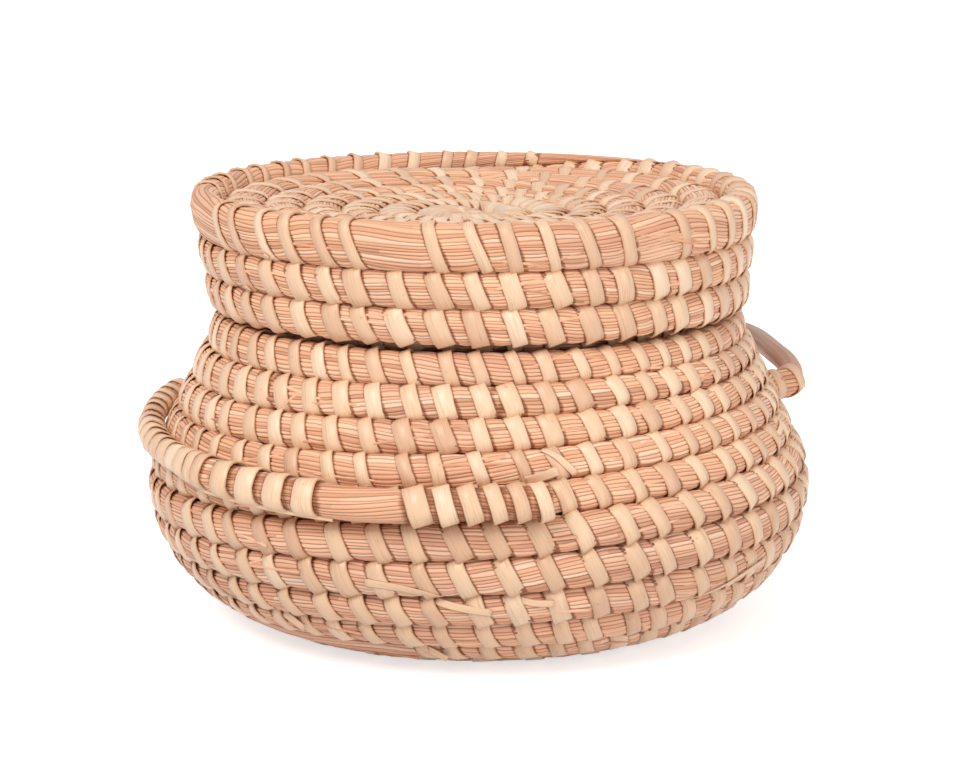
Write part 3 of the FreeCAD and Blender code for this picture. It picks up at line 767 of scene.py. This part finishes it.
# The left handle: a cane with straw round its front part, wrapped in strips.
HANDLE_HEIGHT = 72.0 * MM
HALF_SLEEVE = 6.0 * MM
STRIP_BUILD = 0.75 * MM
WRAPPED_RISE = 8.0 * MM
WRAPPED_STANDOFF = 0.5 * MM
WRAPPED_REACH = 58
WRAPPED_MIDDLE = HANDLE_ANGLE + 180
FRONT_END = WRAPPED_MIDDLE + WRAPPED_REACH
REAR_END = WRAPPED_MIDDLE - WRAPPED_REACH
STRAW_END = WRAPPED_MIDDLE - 6
THINNING = 12.0

# It has settled against the wall, and its middle sags, less so towards the rear.
HANDLE_SETTLING = 0.8 * MM
HANDLE_SAG = 3.8 * MM
SAG_FRONT = 32.0
SAG_MIDDLE = 205.0
SAG_REAR = 40.0


def eased(share):
    """A share from 0 to 1 that starts and ends gently."""
    return (1 - np.cos(np.pi * np.clip(share, 0, 1))) / 2


def wrapped_line(angle):
    """Middle line and half thickness of the wrapped handle at plan angles."""
    free = np.clip((STRAW_END - angle) / (STRAW_END - REAR_END), 0, 1)
    thin = np.clip(0.5 + (STRAW_END - angle) / THINNING, 0, 1)
    half = HALF_SLEEVE + (HALF_CANE - HALF_SLEEVE) * thin
    sag = eased((FRONT_END - angle) / SAG_FRONT) * (1 - eased((SAG_MIDDLE - angle) / SAG_REAR) / 2)
    rise = WRAPPED_RISE * (FRONT_END - angle) / (FRONT_END - REAR_END)
    height = HANDLE_HEIGHT + rise - HANDLE_SAG * sag
    shoulder = shoulder_radius - (height - shoulder_height) * math.tan(shoulder_lean)
    standoff = WRAPPED_STANDOFF * np.sin(np.pi * free)
    off_wall = (HALF_DEPTH + SEAT + STRIP_BUILD + half + standoff) / math.cos(shoulder_lean)
    return plan(shoulder + off_wall - HANDLE_SETTLING, angle, height), half


# Plan angles, and widths in millimetres, of the wraps over the start of the straw and over its front end.
WIDE_WRAPS = ((219.0, 5.4), (221.6, 5.4), (227.4, 8.4), (232.8, 8.6), (238.2, 8.4), (243.5, 8.7))
FRONT_WRAPS = ((260.9, 8.2), (265.0, 6.6), (268.7, 6.4), (272.4, 5.6), (275.9, 5.4), (279.4, 5.2))

# The close wraps lie nearly edge to edge over the bare part of the cane.
CLOSE_PITCH = 8.8 * MM
CLOSE_WIDTH = 8.3
CLOSE_START = REAR_END + 1
CLOSE_STOP = WIDE_WRAPS[0][0] - 2
HANDLE_REACH = 132 * MM

CLOSE_LEAN = math.radians(6)
WIDE_LEAN = math.radians(8)
FRONT_LEAN = math.radians(17)
WRAP_SPREAD = math.radians(3)
PROUD = 1.05

STRAW_TUCKED_IN = 4
STRAW_STATION = 0.6
CANE_STATION = 2.0
LAST_STATION = 0.1
HANDLE_TWIST = 0.9
HANDLE_SHADOW = 2.4 * MM


def left_handle_straw():
    """The straw round the front part of the handle, drawn in under its wraps."""
    angles = np.arange(STRAW_END - STRAW_TUCKED_IN, FRONT_END + LAST_STATION, STRAW_STATION)
    points, half = wrapped_line(angles)
    wrap_angles, widths = np.array(WIDE_WRAPS + FRONT_WRAPS).T
    binding = (np.interp(wrap_angles, angles, run_length(points)), widths * MM, WIDE_LEAN)
    frames = path_frames(points, half, half)
    return bundle("left_handle_bundle", frames, stems=28, seed=71, finish=straw, twist=HANDLE_TWIST,
                  binding=binding, shadow_reach=HANDLE_SHADOW)


def left_handle_cane():
    """The cane inside the wraps, seen only between them."""
    points = wrapped_line(np.arange(REAR_END, STRAW_END + LAST_STATION, CANE_STATION))[0]
    frames = path_frames(points, HALF_CANE, HALF_CANE)
    return bundle("left_handle_core", frames, stems=9, seed=75, finish=cane)


def handle_wraps(name, wraps, seed, lean):
    """Strips wound round the left handle at plan angles."""
    angles, widths = np.array(wraps).T
    points, half = wrapped_line(angles)
    frames = path_frames(points, half * PROUD, half * PROUD)
    return lay_strips(name, frames, widths * MM, seed, lean, WRAP_SPREAD)


handle_straw = left_handle_straw()
left_cane = left_handle_cane()
close_angles = np.arange(CLOSE_START, CLOSE_STOP, math.degrees(CLOSE_PITCH / HANDLE_REACH))
close_list = [(angle, CLOSE_WIDTH) for angle in close_angles]
close_wraps = handle_wraps("left_close_wraps", close_list, 161, CLOSE_LEAN)
wide_wraps = handle_wraps("left_wide_wraps", WIDE_WRAPS, 171, WIDE_LEAN)
front_wraps = handle_wraps("left_front_wraps", FRONT_WRAPS, 181, FRONT_LEAN)

# The right handle: a bare bent cane with its tails in one row of the shoulder.
# Shin and knee are given as the angle from the handle's middle, plan radius and rise above the front foot.
CANE_ROW = BASE_ROWS + BELLY_ROWS + 1
FOOT_STATIONS = (0.0, BACK)
TAIL_ANGLE = 15.0
SHIN = (36.5, 127.3 * MM, 1.9 * MM)
KNEE = (26.0, 129.5 * MM, 7.0 * MM)
ARCH_REACH = 147.0 * MM
ARCH_RISE = 7.4 * MM
BARE_STEP = 3 * MM
ROD_SIDES = 20
ROD_UNEVENNESS = 0.02
ROD_WAVE = 60 * MM


def smooth_line(points, step):
    """Evenly spaced points on a smooth curve through given points."""
    points = np.array(points)
    ends = np.concatenate([[2 * points[0] - points[1]], points, [2 * points[-1] - points[-2]]])
    found = []
    for one, two, three, four in zip(ends, ends[1:], ends[2:], ends[3:]):
        count = max(2, int(np.linalg.norm(three - two) / step))
        share = np.arange(count)[:, None] / count
        curve = 2 * two + (three - one) * share + (2 * one - 5 * two + 4 * three - four) * share ** 2
        found.append((curve + (3 * two - one - 3 * three + four) * share ** 3) / 2)
    return np.concatenate(found + [points[-1:]])


def row_middle(angle):
    """Middle of the row that holds the bare cane's tails, at a plan angle."""
    turned = FULL_TURN * CANE_ROW + (angle - CLIMB_END) % FULL_TURN
    return wall_coil.frames(np.array([turned]))[0][0]


def bare_line():
    """The bare handle's middle line from its front tail over its top to its rear tail."""
    front_foot, rear_foot = [row_middle(angle) for angle in FOOT_STATIONS]
    height = front_foot[2]
    places = [row_middle(FOOT_STATIONS[0] - TAIL_ANGLE), front_foot]
    places += [plan(reach, HANDLE_ANGLE - angle, height + rise) for angle, reach, rise in (SHIN, KNEE)]
    places.append(plan(ARCH_REACH, HANDLE_ANGLE, height + ARCH_RISE))
    places += [plan(reach, HANDLE_ANGLE + angle, height + rise) for angle, reach, rise in (KNEE, SHIN)]
    return smooth_line(places + [rear_foot, row_middle(FOOT_STATIONS[1] + TAIL_ANGLE)], BARE_STEP)


def smooth_rod(name, points, half, finish):
    """A round rod along a line, very slightly uneven."""
    middle, across, outward = path_frames(points, half, half)[:3]
    turns = np.broadcast_to(2 * np.pi * np.arange(ROD_SIDES) / ROD_SIDES, (len(points), ROD_SIDES))
    uneven = ROD_UNEVENNESS * wander(run_length(points), 1, ROD_WAVE, 5)
    reach = half * (1 + uneven) + 0 * turns
    rings = middle[:, None] + across[:, None] * (reach * np.cos(turns))[..., None]
    rings = rings + outward[:, None] * (reach * np.sin(turns))[..., None]
    rod = tube_mesh(name, rings, middle[[0, -1]])
    rod.data.materials.append(finish)
    return rod


bare_points = bare_line()
bare_cane = smooth_rod("right_handle_rod", bare_points, HALF_CANE, cane)

# The knots that the base and the dish start from.
KNOT_STRIPS = 6
KNOT_RADIUS = 6.8 * MM
KNOT_DEPTH = 5.3 * MM
KNOT_STRIP_WIDTH = 4.4 * MM


def knot(name, height, seed):
    """The tight button that a coil starts from, bound with strips that cross over its middle."""
    turns = np.pi * np.arange(KNOT_STRIPS) / KNOT_STRIPS
    flat = np.stack([np.cos(turns), np.sin(turns), 0 * turns], axis=-1)
    up = np.broadcast_to(np.array([0.0, 0.0, 1.0]), flat.shape)
    sizes = np.ones(KNOT_STRIPS)
    frames = (up * (height + HALF_DEPTH), flat, up, sizes * KNOT_RADIUS, sizes * KNOT_DEPTH)
    return lay_strips(name, frames, sizes * KNOT_STRIP_WIDTH, seed, 0.0, 0.0)


base_knot = knot("base_knot_strips", 0.0, 201)
lid_knot = knot("lid_knot_strips", dish_middle - HALF_DEPTH, 203)

# Stray stems and loose strips.
STRAY_HALF = 0.6 * MM
STRAY_DEPTH = 0.55 * MM
STRAY_STEPS = 14
STRAY_ANGLES = (6, 22)
STRAY_START = 0.7
STRAY_DRIFT = 0.55
STRAY_LIMIT = 0.9
ENDS_TUCKED_IN = 0.9 * MM
FREE_SHARE = 0.12
FREE_END = 1.3 * MM
FRAYED_TURNS = (146.0, 156.0)
LOOSE_HALF_DEPTH = 0.22 * MM
LOOSE_STEP = 0.8
LOOSE_TONE = 0.6

# A place across a row counts for this many degrees when a smooth line is drawn over the row.
DEGREES_ACROSS = 10

# The strip along the underside of the left handle.
UNDER_ANGLES = np.arange(203.0, 249.0, 1.0)
UNDER_REACH = 1.06
UNDER_HALF_WIDTH = 1.0 * MM
UNDER_HALF_DEPTH = 0.5 * MM

# Loose strips as turns along the coil and places across its rows, then lifts and half widths in millimetres.
WALL_LOOSE = (
    (((4811.0, 0.85), (4813.2, 0.3), (4814.8, -0.3), (4816.4, -0.85)), (0.5, 0.3), 1.4),
    (((4807.0, -0.93), (4810.5, -0.82), (4813.0, -0.62)), (0.2, 2.4), 1.9),
    (((3702.0, 0.1), (3707.0, -0.15), (3711.0, -0.5), (3714.0, -0.93)), (0.15, 0.3), 1.6),
    (((3353.0, 0.95), (3358.0, 0.62), (3362.0, 0.35)), (0.3, 0.4), 1.5),
    (((2962.0, 0.95), (2965.0, 0.8), (2967.5, 0.55)), (0.2, 1.6), 1.6),
    (((2628.5, 0.95), (2631.5, 0.78), (2634.0, 0.5)), (0.2, 1.7), 1.6),
    (((3398.0, -0.85), (3404.0, -0.5), (3411.0, 0.1), (3416.0, 0.4)), (0.2, 1.0), 1.0),
    (((3366.0, 0.93), (3369.0, 0.75), (3372.0, 0.7)), (0.3, 1.2), 1.3),
    (((4508.0, 0.1), (4511.0, 0.3), (4513.0, 0.6)), (0.2, 0.8), 1.2),
)
LID_LOOSE = (
    (((73.0, 0.93), (75.0, 0.9), (76.6, 0.72)), (0.2, 1.0), 1.3),
    (((425.0, 0.93), (427.0, 0.86), (429.0, 0.7)), (0.2, 1.0), 1.5),
)

# On the rim the coil's outward side is the lid's inside, so pieces on its outer face take this side.
OUTER_FACE_OF_RIM = -1


def on_row(coil, spots, lift, side=1):
    """Points and outward directions over a coil at turns and places across its rows, from -1 to 1."""
    turned, place = np.array(spots, float).T
    middle, across, outward, half, depth = coil.frames(turned)
    reach = side * (depth * (1 - np.abs(place) ** ROUNDNESS) ** (1 / ROUNDNESS) + lift)
    slope = across * (place / half)[:, None] + outward * (reach / depth ** 2)[:, None]
    slope /= np.linalg.norm(slope, axis=1)[:, None]
    return middle + across * (half * place)[:, None] + outward * reach[:, None], slope


def ribbon(name, points, slope, half_width, half_depth, around=8, map_name="strip", number=0):
    """A thin flat or round length that follows points, with its flat side facing along slope."""
    along = np.gradient(points, axis=0)
    along /= np.linalg.norm(along, axis=1)[:, None]
    across = np.cross(slope, along)
    across /= np.linalg.norm(across, axis=1)[:, None]
    face = np.cross(along, across)
    turns = 2 * np.pi * np.arange(around) / around
    wide = half_width * np.cos(turns)
    deep = half_depth * np.sin(turns)
    rings = points[:, None] + across[:, None] * wide[:, None] + face[:, None] * deep[:, None]
    around_map = (np.cos(2 * np.pi * np.arange(around + 1) / around) + 1) / 2
    places = around_map if map_name == "strip" else np.full(around + 1, number + 0.5)
    clear = np.ones(len(points) * around)
    marks = {"shadow": clear} if map_name == "straw" else {"tone": clear * LOOSE_TONE}
    return tube_mesh(name, rings, points[[0, -1]], map_name, marks, places)


def gather(name, parts, finish):
    """One piece made of many small ones."""
    made = bmesh.new()
    for part in parts:
        made.from_mesh(part.data)
        bpy.data.objects.remove(part)
    mesh = bpy.data.meshes.new(name)
    made.to_mesh(mesh)
    made.free()
    mesh.materials.append(finish)
    piece = bpy.data.objects.new(name, mesh)
    bpy.context.scene.collection.objects.link(piece)
    return piece


def stray_stems(name, coil, first, last, count, seed, side=1):
    """Single stems that wander across a coil's rows from first to last, some of them with a free end."""
    rng = np.random.default_rng(seed)
    steps = np.linspace(0, 1, STRAY_STEPS)
    parts = []
    for number in range(count):
        turned = rng.uniform(first, last) * FULL_TURN + steps * rng.uniform(*STRAY_ANGLES)
        start = rng.uniform(-STRAY_START, STRAY_START)
        drift = (steps - 0.5) * rng.normal(0, STRAY_DRIFT)
        place = np.clip(start + drift, -STRAY_LIMIT, STRAY_LIMIT)
        lift = -STRAY_DEPTH - ENDS_TUCKED_IN * np.abs(2 * steps - 1) ** 4
        if rng.uniform() < FREE_SHARE:
            lift = np.where(steps > 0.5, FREE_END * (2 * steps - 1) ** 2 - STRAY_DEPTH, lift)
        points, slope = on_row(coil, np.stack([turned, place], axis=-1), lift, side)
        parts.append(ribbon(name + str(number), points, slope, STRAY_HALF, STRAY_HALF, 6, "straw", number))
    return gather(name, parts, straw)


def loose_strips(name, coil, strips, side=1):
    """Single strips that lie loose on a coil: spots, lifts at both ends and a half width for each."""
    parts = []
    for number, (spots, lifts, half_width) in enumerate(strips):
        line = smooth_line([(turned, place * DEGREES_ACROSS, 0) for turned, place in spots], LOOSE_STEP)
        spots = line[:, :2] / (1, DEGREES_ACROSS)
        lift = np.linspace(*lifts, len(spots)) * MM
        points, slope = on_row(coil, spots, lift, side)
        parts.append(ribbon(name + str(number), points, slope, half_width * MM, LOOSE_HALF_DEPTH))
    return gather(name, parts, palm)


def left_handle_under_strip():
    """The strip that runs along under the left handle, past its wraps."""
    middle, half = wrapped_line(UNDER_ANGLES)
    across, outward, half_width = path_frames(middle, half, half)[1:4]
    down = across * np.where(across[:, 2] > 0, -1, 1)[:, None]
    points = middle + down * (half_width * UNDER_REACH)[:, None]
    strip = ribbon("under", points, outward, UNDER_HALF_WIDTH, UNDER_HALF_DEPTH)
    return gather("left_under_strip", [strip], palm)


wall_strays = stray_stems(
    "wall_stray_stems", wall_coil, BASE_ROWS + 0.2, WALL_ROWS - 0.2, count=150, seed=301)
rim_strays = stray_stems(
    "lid_stray_stems", rim_coil, 0.05, 2.9, count=30, seed=303, side=OUTER_FACE_OF_RIM)
frayed_first, frayed_last = [turned / FULL_TURN for turned in FRAYED_TURNS]
frayed = stray_stems(
    "lid_frayed_stems", rim_coil, frayed_first, frayed_last, count=12, seed=305, side=OUTER_FACE_OF_RIM)
wall_loose = loose_strips("wall_loose_strips", wall_coil, WALL_LOOSE)
lid_loose = loose_strips("lid_loose_strips", rim_coil, LID_LOOSE, OUTER_FACE_OF_RIM)
under_strip = left_handle_under_strip()

# The row's straw is drawn out round the bare cane's feet. Places are counted in points of its line.
HALF_FOOT = 5.9 * MM
FOOT_START, FOOT_END = 4, 15
FOOT_STRIPS = (11, 14)
FOOT_STRIP_WIDTH = 5.0 * MM
FOOT_STEMS = 20
FOOT_TWIST = 0.3
foot_frames = path_frames(bare_points, HALF_FOOT, HALF_FOOT)


def foot_straw(name, part, seed):
    """Straw round one foot of the bare cane."""
    return bundle(name, [values[part] for values in foot_frames], FOOT_STEMS, seed, straw, FOOT_TWIST)


def foot_bindings():
    """Strips that bind the straw at both feet."""
    places = [*FOOT_STRIPS, *(len(bare_points) - place for place in reversed(FOOT_STRIPS))]
    frames = [values[places] for values in foot_frames]
    return lay_strips("right_foot_strips", frames, [FOOT_STRIP_WIDTH] * len(places), 211, 0.0)


front_foot = foot_straw("right_front_foot_straw", slice(FOOT_START, FOOT_END), 81)
rear_foot = foot_straw("right_rear_foot_straw", slice(-FOOT_END, -FOOT_START), 83)
foot_strips = foot_bindings()

# The lid leans a little to the left and to the front, and the base lies flat on the floor.
LID_LEAN = 2.2 * MM
LID_TILT = 1.5 * MM
LID_SPREAD = 0.005
FLAT_HEIGHT = 0.3 * MM
FLAT_SHARE = 0.2


def reshape(piece, change):
    """Moves the points of a piece by a function of all of them."""
    flat = np.empty(3 * len(piece.data.vertices), np.float32)
    piece.data.vertices.foreach_get("co", flat)
    points = change(flat.reshape(-1, 3).astype(float))
    piece.data.vertices.foreach_set("co", points.astype(np.float32).ravel())
    piece.data.update()


def lean_lid(points):
    """Leans, tilts and spreads the lid, more so towards its top."""
    share = np.clip((points[:, 2] - neck_top) / (rim_top_height - neck_top), 0, 1)
    moved = points * (1 + LID_SPREAD * share[:, None] * np.array([1, 1, 0]))
    moved[:, 0] -= LID_LEAN * share
    moved[:, 2] += LID_TILT * share * points[:, 1] / rim_top_radius
    return moved


def press_flat(points):
    """Presses what lies near or under the floor flat on it."""
    low = np.minimum(points[:, 2] - FLAT_HEIGHT, 0)
    return points - np.array([0, 0, 1 - FLAT_SHARE]) * low[:, None]


for piece in (dish_straw, rim_straw, dish_strips, rim_strips, lid_knot, rim_strays, frayed, lid_loose):
    reshape(piece, lean_lid)
for piece in (base_straw, belly_straw, base_strips, belly_strips, base_knot):
    reshape(piece, press_flat)

for piece, body, slot, nodes in (
        (base_straw, "basket", "straw", ["base_coil"]),
        (belly_straw, "basket", "straw", ["belly_coil"]),
        (shoulder_straw, "basket", "straw", ["shoulder_coil"]),
        (collar_straw, "basket", "straw", ["neck_collar_coil"]),
        (dish_straw, "lid", "straw", ["lid_dish_coil"]),
        (rim_straw, "lid", "straw", ["lid_rim_coil"]),
        (base_strips, "basket", "palm_strip", []),
        (belly_strips, "basket", "palm_strip", []),
        (shoulder_strips, "basket", "palm_strip", []),
        (collar_strips, "basket", "palm_strip", []),
        (dish_strips, "lid", "palm_strip", []),
        (rim_strips, "lid", "palm_strip", []),
        (handle_straw, "basket", "straw", ["left_handle_straw"]),
        (left_cane, "basket", "cane", ["left_handle_cane"]),
        (close_wraps, "basket", "palm_strip", ["left_handle_close_wraps"]),
        (wide_wraps, "basket", "palm_strip", ["left_handle_wide_wraps"]),
        (front_wraps, "basket", "palm_strip", ["left_handle_front_wraps"]),
        (bare_cane, "basket", "cane", ["right_handle_cane"]),
        (base_knot, "basket", "palm_strip", ["base_start_knot"]),
        (lid_knot, "lid", "palm_strip", ["lid_start_knot"]),
        (wall_strays, "basket", "straw", []),
        (rim_strays, "lid", "straw", []),
        (frayed, "lid", "straw", []),
        (wall_loose, "basket", "palm_strip", []),
        (lid_loose, "lid", "palm_strip", []),
        (under_strip, "basket", "palm_strip", []),
        (front_foot, "basket", "straw", []),
        (rear_foot, "basket", "straw", []),
        (foot_strips, "basket", "palm_strip", [])):
    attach(piece, body)
    if nodes:
        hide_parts(*nodes)

# Floor, light and camera.
FLOOR_REACH = 6.0
FLOOR_DROP = 0.4 * MM
FLOOR_GLOW = 0.62
SKY_LIGHT = 0.62
SKY_SEEN = 1.0
CAMERA_AWAY = 957.0 * MM
CAMERA_RIGHT = 0.4 * MM
CAMERA_HEIGHT = 282.0 * MM
CAMERA_DOWN = 11.49
CAMERA_LENS = 91.7


def floor():
    """A pale floor that keeps the shadow and looks nearly white to the camera."""
    corners = [(-1, -1), (1, -1), (1, 1), (-1, 1)]
    mesh = bpy.data.meshes.new("floor")
    mesh.from_pydata([(x * FLOOR_REACH, y * FLOOR_REACH, 0) for x, y in corners], [], [(0, 1, 2, 3)])
    plane = bpy.data.objects.new("floor", mesh)
    bpy.context.scene.collection.objects.link(plane)
    plane.location.z = -FLOOR_DROP
    finish = Finish("pale_floor", 0.9, 0.1)
    finish.colour((0.86, 0.87, 0.88, 1))
    sight = finish.node("ShaderNodeLightPath").outputs
    seen = finish.maths("MAXIMUM", sight["Is Camera Ray"], sight["Is Glossy Ray"])
    seen = finish.maths("MAXIMUM", seen, sight["Is Transmission Ray"])
    strength = finish.maths("MULTIPLY", seen, FLOOR_GLOW)
    glow = finish.node("ShaderNodeEmission", {"Color": (1, 1, 1, 1), "Strength": strength})
    both = finish.node("ShaderNodeAddShader", {0: finish.shader, 1: glow})
    finish.put(both, finish.tree.nodes["Material Output"].inputs["Surface"])
    mesh.materials.append(finish.material)


def sky():
    """Even white light from all round, brighter where the camera or a gloss sees it."""
    world = bpy.data.worlds.new("studio")
    world.use_nodes = True
    bpy.context.scene.world = world
    tree = world.node_tree
    back = tree.nodes["Background"]
    back.inputs["Color"].default_value = (1, 1, 1, 1)
    sight = tree.nodes.new("ShaderNodeLightPath")
    seen = tree.nodes.new("ShaderNodeMath")
    seen.operation = "MAXIMUM"
    tree.links.new(sight.outputs["Is Camera Ray"], seen.inputs[0])
    tree.links.new(sight.outputs["Is Glossy Ray"], seen.inputs[1])
    level = tree.nodes.new("ShaderNodeMapRange")
    level.inputs["To Min"].default_value = SKY_LIGHT
    level.inputs["To Max"].default_value = SKY_SEEN
    tree.links.new(seen.outputs[0], level.inputs["Value"])
    tree.links.new(level.outputs[0], back.inputs["Strength"])


def lamp(name, place, target, size, power):
    """A round soft lamp that points at a target."""
    light = bpy.data.lights.new(name, "AREA")
    light.shape = "DISK"
    light.size = size
    light.energy = power
    thing = bpy.data.objects.new(name, light)
    thing.location = place
    thing.rotation_euler = (Vector(target) - Vector(place)).to_track_quat("-Z", "Y").to_euler()
    bpy.context.scene.collection.objects.link(thing)


def front_camera():
    """The camera, in front of the basket and looking down on it a little."""
    camera = bpy.data.objects.new("camera", bpy.data.cameras.new("camera"))
    camera.data.lens = CAMERA_LENS
    camera.location = (CAMERA_RIGHT, -CAMERA_AWAY, CAMERA_HEIGHT)
    camera.rotation_euler = (math.radians(90 - CAMERA_DOWN), 0, 0)
    bpy.context.scene.collection.objects.link(camera)
    bpy.context.scene.camera = camera


floor()
sky()
lamp("key", place=(-0.9, -1.5, 1.9), target=(0, 0, 0.08), size=1.3, power=34)
lamp("fill", place=(1.5, -1.4, 0.45), target=(0, 0, 0.06), size=1.6, power=13)
front_camera()
bpy.context.scene.view_settings.view_transform = "Standard"
